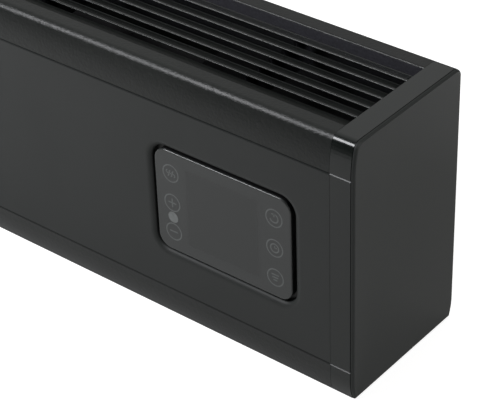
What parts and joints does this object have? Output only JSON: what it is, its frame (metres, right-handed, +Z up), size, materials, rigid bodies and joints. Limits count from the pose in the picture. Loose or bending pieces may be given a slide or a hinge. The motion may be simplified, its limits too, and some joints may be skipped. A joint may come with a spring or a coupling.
{
  "type": "convector heater",
  "caption": "Low convector heater with a louvred top outlet, moulded end caps and a touch display in the front panel.",
  "frame": {"origin": "centre of the face that the heater stands on", "axes": "+X along the heater towards the end with the display, front faces -Y, +Z up"},
  "size_m": [0.75, 0.117, 0.2],
  "materials": {
    "grained_paint": "fine-textured powder coat, graphite",
    "inner_paint": "matt black coat",
    "cap_plastic": "satin moulded",
    "zinc_sheet": "zinc-coated sheet",
    "zinc_screw": "zinc plated",
    "cover_glass": "back-printed, glossy",
    "lens": "diffusing",
    "black_plastic": "moulded",
    "screen": "dark liquid-crystal screen",
    "circuit_board": "solder mask",
    "fin_aluminium": "extruded",
    "rod_steel": "heat-tinted",
    "ceramic": "unglazed steatite",
    "rubber": "matt",
    "wire_cover": "silicone sleeve",
    "relay_blue": "moulded",
    "winding": "taped",
    "film_yellow": "moulded",
    "rocker_black": "glossy moulded"
  },
  "bodies": {
    "heater": {"top_rail": "grained_paint", "front_panel": "grained_paint", "bottom_rail": "grained_paint", "rear_panel": "grained_paint", "base_plate": "zinc_sheet", "louvre_blade_1": "grained_paint", "louvre_blade_2": "grained_paint", "louvre_blade_3": "grained_paint", "louvre_blade_4": "grained_paint", "louvre_blade_5": "grained_paint", "grille_ribs": "inner_paint", "right_end_cap": "cap_plastic", "left_end_cap": "cap_plastic", "right_side_plate": "cap_plastic", "left_side_plate": "cap_plastic", "cap_screws": "zinc_screw", "base_screws": "zinc_screw", "seam_clips": "zinc_sheet", "foot_nuts": "zinc_screw", "display_glass": "cover_glass", "sensor_lens": "lens", "display_housing": "black_plastic", "lcd_module": "screen", "touch_board": "circuit_board", "housing_nuts": "zinc_screw", "fin_profile": "fin_aluminium", "heating_rod": "rod_steel", "left_element_bracket": "zinc_sheet", "right_element_bracket": "zinc_sheet", "ceramic_bushes": "ceramic", "front_heat_shield": "inner_paint", "rear_heat_shield": "inner_paint", "thermal_cutout": "black_plastic", "element_leads": "wire_cover", "partition_plate": "zinc_sheet", "partition_grommets": "rubber", "control_cover": "inner_paint", "board_carrier": "zinc_sheet", "power_board": "circuit_board", "power_relay": "relay_blue", "supply_transformer": "winding", "filter_capacitor": "film_yellow", "terminal_block": "ceramic", "tilt_switch": "black_plastic", "display_ribbon": "wire_cover", "room_sensor": "black_plastic", "sensor_clip": "wire_cover", "inlet_recess": "black_plastic", "switch_housing": "black_plastic", "cable_gland": "black_plastic", "gland_nut": "black_plastic"},
    "rocker": {"switch_rocker": "rocker_black"}
  },
  "joints": [
    {"name": "rocker_pivot", "type": "hinge", "parent": "heater", "child": "rocker", "pos_m": [0.29, 0.0391, 0.048], "axis": [-1, 0, 0], "range_deg": [0, 24]}
  ]
}
